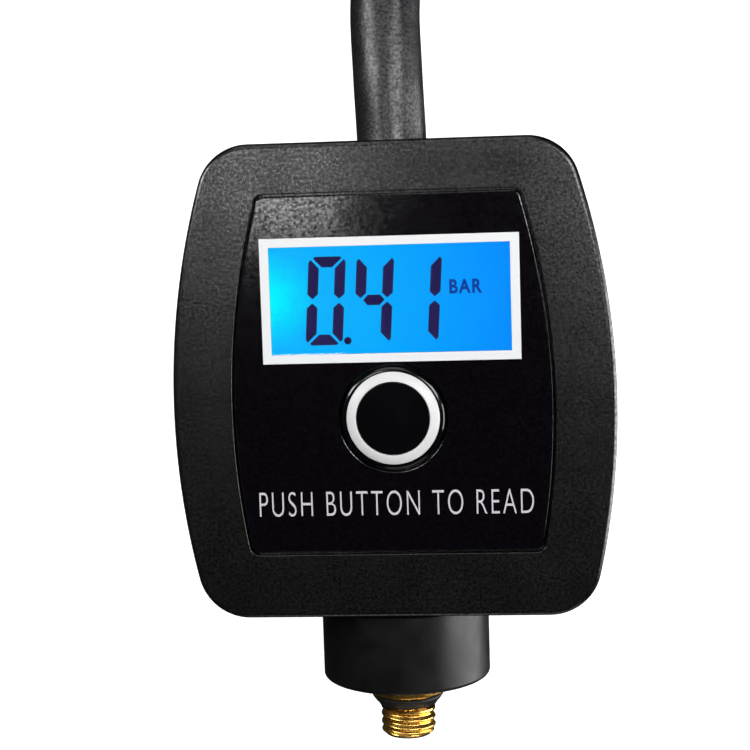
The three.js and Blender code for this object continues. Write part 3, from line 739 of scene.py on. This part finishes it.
def make_chuck_nut():
    """A round nut with finger grooves, a lip behind the stem's head and a socket for the valve."""
    outer, back, front, grooves, depth = 7.5, 6.0, 24.5, 18, 0.4
    hole, chamber, socket = 4.5, 5.5, 3.9

    def grip(radius, height, angle):
        cut = max(0, math.cos(grooves * angle)) ** 6 * depth
        return radius - cut if radius > 6.9 and 7.4 < height < 22.9 else radius

    profile = [
        (hole, back), (6.9, back), (7.3, 6.15), (outer, 6.6), (outer, 7.3), (outer, 7.5),
        (outer, 22.8), (outer, 23.1), (outer, 23.7), (7.1, 24.3), (6.7, front), (4.3, front),
        (socket, 24.1), (socket, 16.4), (chamber, 16.4), (chamber, 13.6), (hole, 13.6),
    ]
    shape = turned(profile, about_chuck, steps=grooves * 14, wrap=True, shape=grip)
    return piece("chuck_nut_visual", shape, "brass_x", "nut", ("chuck_nut",), sharp=40)


def make_chuck():
    """Every piece on the hose's far end."""
    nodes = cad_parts
    made = [make_ferrule(), make_chuck_body(), make_chuck_nut()]
    return [*made, nodes["chuck_seal"], nodes["chuck_pin"]]


# ---- housing ----

def make_front_shell():
    """The face half: rounded edge, flat face and a lipped recess for the panel."""
    split = SPLIT_Z + SHELL_GAP
    top = BODY_HIGH.z
    rebate = split + REBATE
    side = LCD_HIGH.x + 0.3
    opening = (side, -3.6, LCD_HIGH.y + 0.3, 4000, 1.0)
    loops = [
        plate(HOUSING, -LIP, split), plate(HOUSING, -SPLIT_CHAMFER, split),
        plate(HOUSING, 0, split + SPLIT_CHAMFER),
    ]
    loops += [plate(HOUSING, -inset, top - drop) for inset, drop in reversed(rounded(EDGE, 8))]
    loops += [plate(PANEL, PANEL_GAP + inset, top - drop) for inset, drop in rounded(0.12, 3)]
    loops += [
        plate(PANEL, PANEL_GAP, RECESS_FLOOR),
        plate(opening, 0, RECESS_FLOOR),
        plate(opening, 0, FACE_INNER),
        plate(HOUSING, -WALL, FACE_INNER),
        plate(HOUSING, -WALL, rebate),
        plate(HOUSING, -LIP, rebate),
    ]
    shell = mesh_object("front_shell_visual", loft(loops, wrap=True))
    for name in SCREWS:
        low, high = extent(name)
        axis = about_z(*((low + high) / 2).xy)
        post = turned([(FRONT_POST, split), (FRONT_POST, FACE_INNER + 0.5)], axis, 32)
        hole = turned([(SCREW_HOLE, split - 1), (SCREW_HOLE, high.z + 1)], axis, 32)
        combine(shell, post, "UNION")
        combine(shell, hole, "DIFFERENCE")
    cut_end_holes(shell)
    return dress(shell, "housing", "case", ("front_shell",))


def cut_end_holes(shell):
    """The hole for the hose in the top wall and the one for the collar's neck below."""
    top, bottom, hose = BODY_HIGH.y, BODY_LOW.y, HOSE_RADIUS + HOSE_CLEARANCE
    upper = [(hose, top - 2 * WALL), (hose, top + WALL)]
    lower = [(NECK_HOLE, bottom - WALL), (NECK_HOLE, bottom + 2 * WALL)]
    for profile in (upper, lower):
        combine(shell, turned(profile, about_air_line), "DIFFERENCE")


def make_rear_shell():
    """The back half: a tongue at the split, screw wells and the bayonet seat of the battery cap."""
    split = SPLIT_Z - SHELL_GAP
    tongue = split + TONGUE
    flat_inset = 12
    loops = [plate(HOUSING, -EDGE - flat_inset, 0)]
    loops += [plate(HOUSING, -inset, drop) for inset, drop in rounded(EDGE, 8)]
    loops += [
        plate(HOUSING, 0, split - SPLIT_CHAMFER),
        plate(HOUSING, -SPLIT_CHAMFER, split),
        plate(HOUSING, -TONGUE_INSET, split),
        plate(HOUSING, -TONGUE_INSET, tongue),
        plate(HOUSING, -WALL, tongue),
        plate(HOUSING, -WALL, WALL),
        plate(HOUSING, -WALL - flat_inset, WALL),
    ]
    shell = mesh_object("rear_shell_visual", loft(loops))
    boss, boss_top = CAP_BOSS
    middle = about_z(0, CELL_Y)
    combine(shell, turned([(boss, 1), (boss, boss_top)], middle), "UNION")
    well = [(SCREW_WELL, -1), (SCREW_WELL, WELL_DEPTH), (SCREW_HOLE, WELL_DEPTH), (SCREW_HOLE, split + 1)]
    for name in SCREWS:
        low, high = extent(name)
        axis = about_z(*((low + high) / 2).xy)
        combine(shell, turned([(REAR_POST, 1), (REAR_POST, split)], axis, 48), "UNION")
        combine(shell, turned(well, axis, 48), "DIFFERENCE")
    seat = [
        (CAP_MOUTH + 0.2, -1), (CAP_MOUTH + 0.2, 0), (CAP_MOUTH, 0.2), (CAP_MOUTH, CAP_GROOVE_LOW),
        (CAP_GROOVE, CAP_GROOVE_LOW), (CAP_GROOVE, CAP_GROOVE_HIGH), (CELL_BORE, CAP_GROOVE_HIGH),
        (CELL_BORE, 8),
    ]
    combine(shell, turned(seat, middle), "DIFFERENCE")
    cut_end_holes(shell)
    return dress(shell, "housing", "case", ("rear_shell",))


# ---- face ----

def make_panel():
    """A glossy black plate with a window for the display and a hole for the button."""
    bottom, edge = PANEL_LOW.z, PANEL_HIGH.z
    loops = [plate(PANEL, -0.1, bottom), plate(PANEL, 0, bottom + 0.1)]
    loops += [plate(PANEL, -inset, edge - drop) for inset, drop in reversed(rounded(0.3, 5))]
    panel = mesh_object("face_panel_visual", loft(loops))
    low, high = bottom - 1, edge + 1
    combine(panel, prism(rectangle(*WINDOW, y=LCD_Y), low, high), "DIFFERENCE")
    hole, mouth = 7.55, 7.8
    profile = [(hole, low), (hole, edge - 0.25), (7.63, edge - 0.07), (mouth, edge), (mouth, high)]
    combine(panel, turned(profile, about_z(0, 0), 128), "DIFFERENCE")
    return dress(panel, "panel", "case", ("face_panel",))


def make_window():
    """The clear window, the white border printed round it and the label under the button."""
    face = PANEL_HIGH.z
    half_x, half_y = WINDOW
    piece(
        "display_window",
        prism(rectangle(half_x - 0.02, half_y - 0.02, y=LCD_Y), PANEL_LOW.z + 0.05, face - 0.01),
        "lens", "case",
    )
    outer = rectangle(*FRAME_PRINT, y=LCD_Y)
    inner = rectangle(half_x, half_y, y=LCD_Y)
    corners = [(outer, face - 0.05), (outer, face + INK), (inner, face + INK), (inner, face - 0.05)]
    loops = [[(x, y, z) for x, y in loop] for loop, z in corners]
    piece("display_border", loft(loops, wrap=True), "print", "case")
    lettering("panel_label", LABEL["text"], LABEL["width"], LABEL["height"],
              (-LABEL["width"] / 2, LABEL["base"]), face + INK, "label")


def lettering(name, words, width, height, corner, z, material, weight=-0.012):
    """Plain capitals of a given width and height, as thin raised ink; weight makes them bolder."""
    text = bpy.data.curves.new(name, "FONT")
    text.body = words
    text.extrude = 0.5
    text.offset = weight
    text.space_character = 1.2
    holder = bpy.data.objects.new(name, text)
    bpy.context.scene.collection.objects.link(holder)
    bpy.context.view_layer.update()
    depsgraph = bpy.context.evaluated_depsgraph_get()
    data = bpy.data.meshes.new_from_object(holder.evaluated_get(depsgraph))
    bpy.data.objects.remove(holder)
    xs = [v.co.x for v in data.vertices]
    ys = [v.co.y for v in data.vertices]
    left, base = min(xs), min(ys)
    across = width / (max(xs) - left)
    upward = height / (max(ys) - base)
    for vertex in data.vertices:
        vertex.co = Vector((
            corner[0] + (vertex.co.x - left) * across,
            corner[1] + (vertex.co.y - base) * upward,
            z + (vertex.co.z - 0.5) * 2 * INK,
        )) * MM
    made = bpy.data.objects.new(name, data)
    bpy.context.scene.collection.objects.link(made)
    return dress(made, material, "case")


def digit_segments():
    """The seven bars of a digit centred on the origin, by their usual letters."""
    half, tall, stroke = DIGIT
    inner = half - stroke
    top = [
        (-half + 0.6, tall - 0.25), (-half + 0.85, tall),
        (half - 0.85, tall), (half - 0.6, tall - 0.25),
        (inner - 0.4, tall - stroke), (-inner + 0.4, tall - stroke),
    ]
    side = [
        (half, tall - 0.8), (half - 0.29, tall - 0.4), (inner, tall - 1.65),
        (inner, 0.95), (half - stroke / 2, 0.28), (half, 0.95),
    ]
    point, shoulder, thick = 1.5, 0.85, 0.72
    middle = [
        (-point, 0), (-shoulder, thick), (shoulder, thick),
        (point, 0), (shoulder, -thick), (-shoulder, -thick),
    ]
    return {
        "a": top,
        "b": side,
        "c": [(x, -y) for x, y in side],
        "d": [(x, -y) for x, y in top],
        "e": [(-x, -y) for x, y in side],
        "f": [(-x, y) for x, y in side],
        "g": middle,
    }


def make_display():
    """The lit display with a reading on it."""
    face = LCD_HIGH.z
    half_x, half_y = LCD_HIGH.x, (LCD_HIGH.y - LCD_LOW.y) / 2
    bevel = 0.15
    outlines = [(bevel, LCD_LOW.z), (0, LCD_LOW.z + bevel), (0, face - bevel), (bevel, face)]
    loops = [
        [(x, y, z) for x, y in rectangle(half_x - inset, half_y - inset, y=LCD_Y)]
        for inset, z in outlines
    ]
    piece("display_glass", loft(loops), "lcd", "case", ("lcd_glass",))
    shown = {"0": "abcdef", "4": "fgbc", "1": "bc"}
    lean = math.tan(DIGIT_SLANT)
    bars = digit_segments()
    shapes = []
    for digit, centre in DIGIT_CENTRES.items():
        for bar in shown[digit]:
            corners = [(centre + x + y * lean, DIGIT_Y + y) for x, y in bars[bar]]
            shapes.append(prism(corners, face, face + INK))
    dot = arc(POINT_CENTRE, POINT_RADIUS, 0, 2 * math.pi, 32)
    shapes.append(prism(dot, face, face + INK))
    piece("display_digits", merged(shapes), "segment", "case")
    lettering("display_unit", UNIT["text"], UNIT["width"], UNIT["height"],
              (UNIT["left"], UNIT["base"]), face + INK, "unit", weight=0.03)


def make_button():
    """A round gloss button with a low dome inside its white ring, which slopes off outward."""
    axis = about_z(0, 0)
    top, radius = BUTTON_HIGH.z, BUTTON_HIGH.x
    slope = 0.5
    rim = top - slope
    stem_hole, stem, skirt = 0.3, 2.6, 25.25
    groove, groove_inner, groove_outer = top - 0.6, 5.1, 6.55
    dome_radius, dome_rise, steps = 5.0, 0.06, 12
    dome = []
    for i in range(steps + 1):
        t = i / steps
        inward = dome_radius - (dome_radius - stem_hole) * t
        dome.append((inward, top - 0.02 + dome_rise * (1 - (1 - t) ** 2)))
    edge = [(radius - inset, rim - drop) for inset, drop in reversed(rounded(0.55, 7))]
    profile = [
        (stem_hole, BUTTON_LOW.z), (stem, BUTTON_LOW.z), (stem, skirt), (radius, skirt), *edge,
        (6.6, rim), (groove_outer, groove), (groove_inner, groove), *dome,
    ]
    cap = turned(profile, axis, 128)
    piece("button_cap_visual", cap, "button", "button", ("button_cap",))

    inner, outer, bottom = 5.14, 6.49, top - 0.55
    crown = [(5.2 + 1.25 * i / 8, top - slope * (i / 8) ** 1.6) for i in range(9)]
    ring = [
        (inner, top - 0.06), (inner, bottom), (outer, bottom), (outer, rim - 0.05), *reversed(crown),
    ]
    band = turned(ring, axis, 128, wrap=True)
    piece("button_ring_visual", band, "ring", "button", ("button_ring",))


# ---- collar, stud and seal ----

def make_collar():
    """A smooth black collar on a neck through the bottom wall, with a flange inside it."""
    radius, bore, neck, flange = COLLAR_HIGH.x, 5.3, 7.8, 9.3
    bottom, end = COLLAR_LOW.y, COLLAR_HIGH.y
    wall = BODY_LOW.y - 0.3
    inner = BODY_LOW.y + WALL + 0.3
    edge = [(radius - inset, bottom + drop) for inset, drop in rounded(0.6, 6)]
    profile = [
        (bore, bottom), *edge, (radius, wall - 0.15), (radius - 0.15, wall), (neck, wall),
        (neck, inner), (flange, inner), (flange, end), (bore, end),
    ]
    shape = turned(profile, about_air_line, 128, wrap=True)
    piece("collar_visual", shape, "collar", "case", ("collar",))


def make_stud():
    """A brass stud with a true helical thread, a flange and an undercut for the seal."""
    start = STUD_LOW.y
    shoulder, end = -24.0, -17.0
    body, tail = 5.0, 3.5
    steps = 56

    def helix(radius, height, angle):
        if radius < THREAD_ROOT or height > THREAD_TOP + 0.01 or height < start:
            return radius
        turn = (height - start) / THREAD_PITCH - angle / (2 * math.pi)
        wave = abs((turn % 1) * 2 - 1)
        tooth = THREAD_CREST - THREAD_ROOT
        crest = THREAD_ROOT + tooth * min(1, max(0, wave * 1.25 - 0.1))
        runout = eased(height, THREAD_TOP - 0.5, THREAD_TOP)
        return min(radius, crest + (THREAD_CREST - crest) * runout)

    thread = []
    for i in range(steps + 1):
        height = start + 0.02 + (THREAD_TOP - start - 0.02) * i / steps
        thread.append((min(THREAD_CREST, THREAD_ROOT - 0.25 + (height - start)), height))
    profile = [
        (STUD_BORE, start), (3.0, start), *thread,
        (UNDERCUT, THREAD_TOP + 0.02), (UNDERCUT, FLANGE_LOW),
        (FLANGE_RADIUS - 0.3, FLANGE_LOW), (FLANGE_RADIUS, FLANGE_LOW + 0.3),
        (FLANGE_RADIUS, FLANGE_HIGH - 0.1), (FLANGE_RADIUS - 0.1, FLANGE_HIGH),
        (body, FLANGE_HIGH), (body, shoulder), (tail, shoulder), (tail, end), (STUD_BORE, end),
    ]
    shape = turned(profile, about_air_line, 120, wrap=True, shape=helix)
    piece(
        "threaded_stud_visual", shape, "brass_y", "case", ("threaded_stud",), sharp=50
    )


def make_stud_seal():
    """A rubber ring pressed against the flange, so that it tapers toward the thread."""
    low, high, rim = RING_LOW.y, RING_HIGH.y, RING_HIGH.x
    hole = rim - (high - low)
    foot = THREAD_CREST + 0.35
    round_off, bulge, steps = 0.35, 0.12, 8
    taper = []
    for i in range(steps + 1):
        t = i / steps
        swell = bulge * math.sin(math.pi * t) * (1 - t)
        taper.append((
            foot + (rim - foot) * t + swell,
            low + round_off + (high - low - 2 * round_off) * t,
        ))
    profile = [
        (hole, low + 0.2), (hole + 0.2, low), (foot - round_off, low), (foot - 0.1, low + 0.1),
        *taper,
        (rim - 0.1, high - 0.1), (rim - round_off, high), (hole + 0.2, high), (hole, high - 0.2),
    ]
    shape = turned(profile, about_air_line, wrap=True)
    piece("stud_o_ring_visual", shape, "rubber", "case", ("stud_o_ring",), sharp=80)


# ---- back ----

def make_battery_cap():
    """A quarter-turn cap with a coin slot and two bayonet tabs."""
    low, high = CAP_LOW.z, CAP_HIGH.z
    axis = about_z(0, CELL_Y)
    radius, plug, disc_top = 11.7, 9.6, 1.9
    profile = [
        (radius - 0.3, low), (11.62, low + 0.08), (radius, low + 0.3), (radius, disc_top),
        (plug, disc_top), (plug, high),
    ]
    cap = mesh_object("battery_cap_visual", turned(profile, axis))
    tab_outer, tab_inner, tab_low, tab_spread = 12.8, 10.7, 1.2, 0.35
    for turn in (0, math.pi):
        start, end = turn - tab_spread, turn + tab_spread
        sector = arc((0, CELL_Y), tab_outer, start, end, 12)
        sector += arc((0, CELL_Y), tab_inner, end, start, 12)
        combine(cap, prism(sector, tab_low, disc_top), "UNION")
    slot_half, slot_width, slot_depth = 6.1, 0.9, 0.9
    slot = arc((slot_half, 0), slot_width, -math.pi / 2, math.pi / 2, 10)
    slot = [(x, CELL_Y + y) for x, y in slot]
    slot += [(-x, y) for x, y in reversed(slot)]
    combine(cap, prism(slot, low - 1, low + slot_depth), "DIFFERENCE")
    dress(cap, "housing", "battery_door", ("battery_cap",))


def make_case_screws():
    """Pan heads with a cross recess, driven up from the back."""
    head_radius, head_height, shank_radius = 2.3, 2, 1.3
    cross_length, cross_width = 1.5, 0.3
    for name in SCREWS:
        low, high = extent(name)
        x, y = ((low + high) / 2).xy
        profile = [
            (1.9, low.z), (2.15, low.z + 0.12), (head_radius, low.z + 0.45),
            (head_radius, low.z + head_height), (shank_radius, low.z + head_height),
            (shank_radius, high.z - 1), (0.4, high.z),
        ]
        screw = mesh_object(name + "_visual", turned(profile, about_z(x, y), 48))
        for half_x, half_y in ((cross_length, cross_width), (cross_width, cross_length)):
            bar = rectangle(half_x, half_y, x, y)
            combine(screw, prism(bar, low.z - 1, low.z + 1), "DIFFERENCE")
        dress(screw, "steel", "case", (name,))


# ---- stage ----

def soft_box(name, place, size, radiance, aim):
    """A rectangular soft box at a place in metres, turned toward aim."""
    data = bpy.data.lights.new(name, "AREA")
    data.shape = "RECTANGLE"
    data.size, data.size_y = size
    data.energy = radiance * math.pi * size[0] * size[1]
    lamp = bpy.data.objects.new(name, data)
    lamp.location = place
    turn = (Vector(aim) - Vector(place)).to_track_quat("-Z", "Y")
    lamp.rotation_mode = "QUATERNION"
    lamp.rotation_quaternion = turn
    bpy.context.scene.collection.objects.link(lamp)


def make_floor():
    """A round white floor that sweeps up into a wall and shines by itself.

    It throws no light up at the gauge and stops none either.
    """
    material = textured(
        "pale_floor", (0.5, 0.5, 0.5), roughness=0.8, grain=30, depth=0.0, tint=0.01,
        sockets={"Emission Color": (1, 1, 1, 1), "Emission Strength": 0.9},
    )
    reach, cove = 3000, 600
    sweep = arc((reach - cove, cove), cove, -math.pi / 2, 0, 16)
    profile = [(10, 0), *sweep, (reach, cove), (reach, reach)]
    floor = mesh_object("floor", turned(profile, about_z(0, 0), 96))
    floor.data.materials.append(material)
    floor.visible_diffuse = False
    floor.visible_glossy = False
    floor.visible_transmission = False
    floor.visible_shadow = False


def make_sky():
    """A dim room."""
    world = bpy.data.worlds.new("room")
    world.use_nodes = True
    bpy.context.scene.world = world
    background = world.node_tree.nodes["Background"]
    background.inputs["Color"].default_value = (1, 1, 1, 1)
    background.inputs["Strength"].default_value = 0.02


def make_lights():
    """Soft boxes, in metres: two small ones overhead for the sheen, and wide ones all round."""
    middle = (0, 0, 0.01)
    soft_box("light_key", (-0.105, 0.058, 0.6), (0.077, 0.032), 23, (-0.105, 0.058, 0))
    soft_box("light_key_edge", (-0.092, 0.023, 0.6), (0.05, 0.03), 5, (-0.092, 0.023, 0))
    soft_box("light_right_high", (0.235, 0.12, 0.43), (0.12, 0.4), 10, middle)
    soft_box("light_right_low", (0.496, -0.064, 0.01), (0.28, 0.6), 8, middle)
    soft_box("light_left", (-0.357, 0.166, 0.318), (0.1, 0.35), 15, middle)
    soft_box("light_behind", (-0.05, 0.38, 0.3), (0.3, 0.55), 1.4, middle)
    soft_box("light_front", (0.08, -0.5, 0.12), (0.4, 0.3), 1, middle)


def make_stage():
    make_floor()
    make_sky()
    make_lights()
    bpy.context.scene.view_settings.view_transform = "Standard"


# ---- everything ----

make_camera()
MATERIALS.update({**face_materials(), **air_line_materials(), **inner_materials()})
make_hose(make_chuck())
finish_cad_nodes()
make_front_shell()
make_rear_shell()
make_panel()
make_window()
make_display()
make_button()
make_collar()
make_stud()
make_stud_seal()
make_battery_cap()
make_case_screws()
make_stage()
